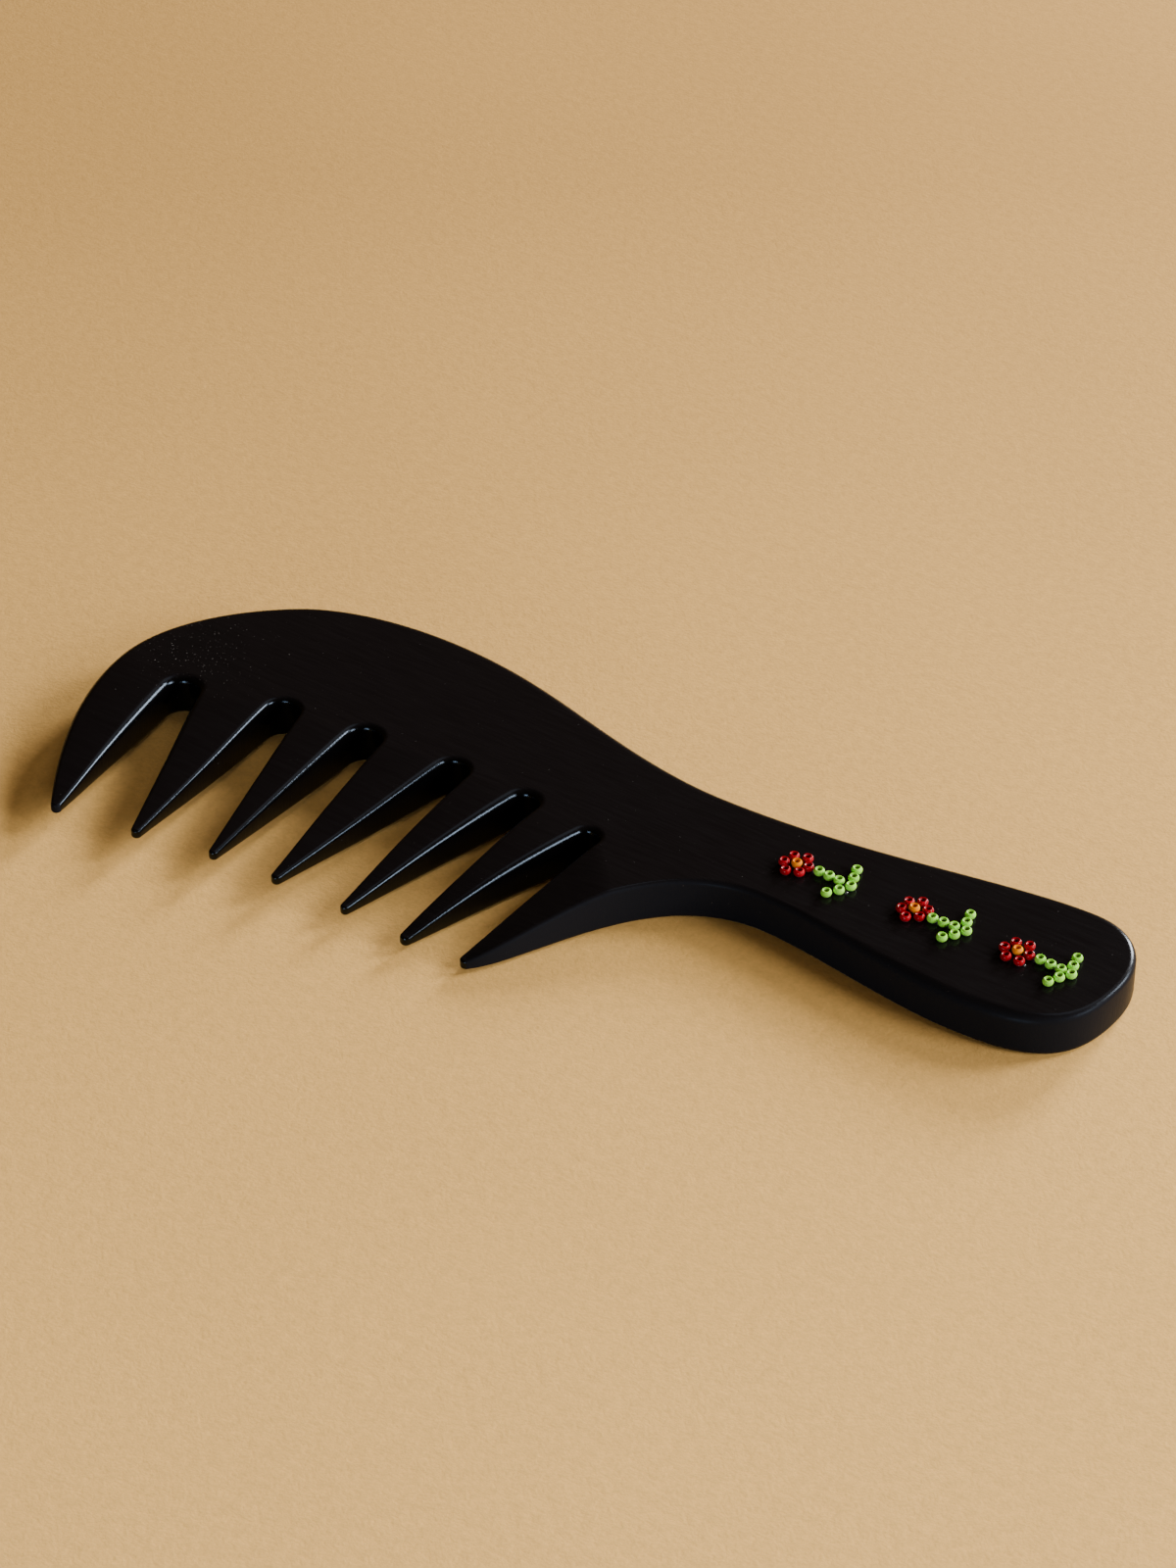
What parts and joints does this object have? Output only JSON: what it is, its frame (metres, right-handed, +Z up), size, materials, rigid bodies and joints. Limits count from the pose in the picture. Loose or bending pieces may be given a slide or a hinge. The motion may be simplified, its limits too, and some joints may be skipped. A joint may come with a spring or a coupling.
{
  "type": "wide-tooth comb",
  "caption": "Flat wide-tooth hair comb carved from black stained wood, with a curved claw-like head, a waisted handle with a rounded end, and small glass bead flowers on its upper face.",
  "frame": {"origin": "centre of the comb's bounding rectangle, on the flat lower face that it lies on", "axes": "+X from the rounded head to the end of the handle, +Y from the tooth tips to the back, +Z up out of the face with the beads"},
  "size_m": [0.2004, 0.079, 0.0101],
  "materials": {
    "stained_wood": "black stain under a thin satin lacquer",
    "red_glass": "dark red translucent glass, polished",
    "amber_glass": "amber translucent glass, polished",
    "green_glass": "opaque light green glass, polished"
  },
  "bodies": {
    "root": {"comb_body": "stained_wood", "flower_1_petal_1": "red_glass", "flower_1_petal_2": "red_glass", "flower_1_petal_3": "red_glass", "flower_1_petal_4": "red_glass", "flower_1_petal_5": "red_glass", "flower_1_petal_6": "red_glass", "flower_2_petal_1": "red_glass", "flower_2_petal_2": "red_glass", "flower_2_petal_3": "red_glass", "flower_2_petal_4": "red_glass", "flower_2_petal_5": "red_glass", "flower_2_petal_6": "red_glass", "flower_3_petal_1": "red_glass", "flower_3_petal_2": "red_glass", "flower_3_petal_3": "red_glass", "flower_3_petal_4": "red_glass", "flower_3_petal_5": "red_glass", "flower_3_petal_6": "red_glass", "flower_1_centre": "amber_glass", "flower_2_centre": "amber_glass", "flower_3_centre": "amber_glass", "flower_1_stem_1": "green_glass", "flower_1_stem_2": "green_glass", "flower_1_stem_3": "green_glass", "flower_1_stem_4": "green_glass", "flower_2_stem_1": "green_glass", "flower_2_stem_2": "green_glass", "flower_2_stem_3": "green_glass", "flower_2_stem_4": "green_glass", "flower_3_stem_1": "green_glass", "flower_3_stem_2": "green_glass", "flower_3_stem_3": "green_glass", "flower_3_stem_4": "green_glass", "flower_1_upper_leaf_1": "green_glass", "flower_1_upper_leaf_2": "green_glass", "flower_1_lower_leaf_1": "green_glass", "flower_1_lower_leaf_2": "green_glass", "flower_2_upper_leaf_1": "green_glass", "flower_2_upper_leaf_2": "green_glass", "flower_2_lower_leaf_1": "green_glass", "flower_2_lower_leaf_2": "green_glass", "flower_3_upper_leaf_1": "green_glass", "flower_3_upper_leaf_2": "green_glass", "flower_3_lower_leaf_1": "green_glass", "flower_3_lower_leaf_2": "green_glass"}
  },
  "joints": []
}
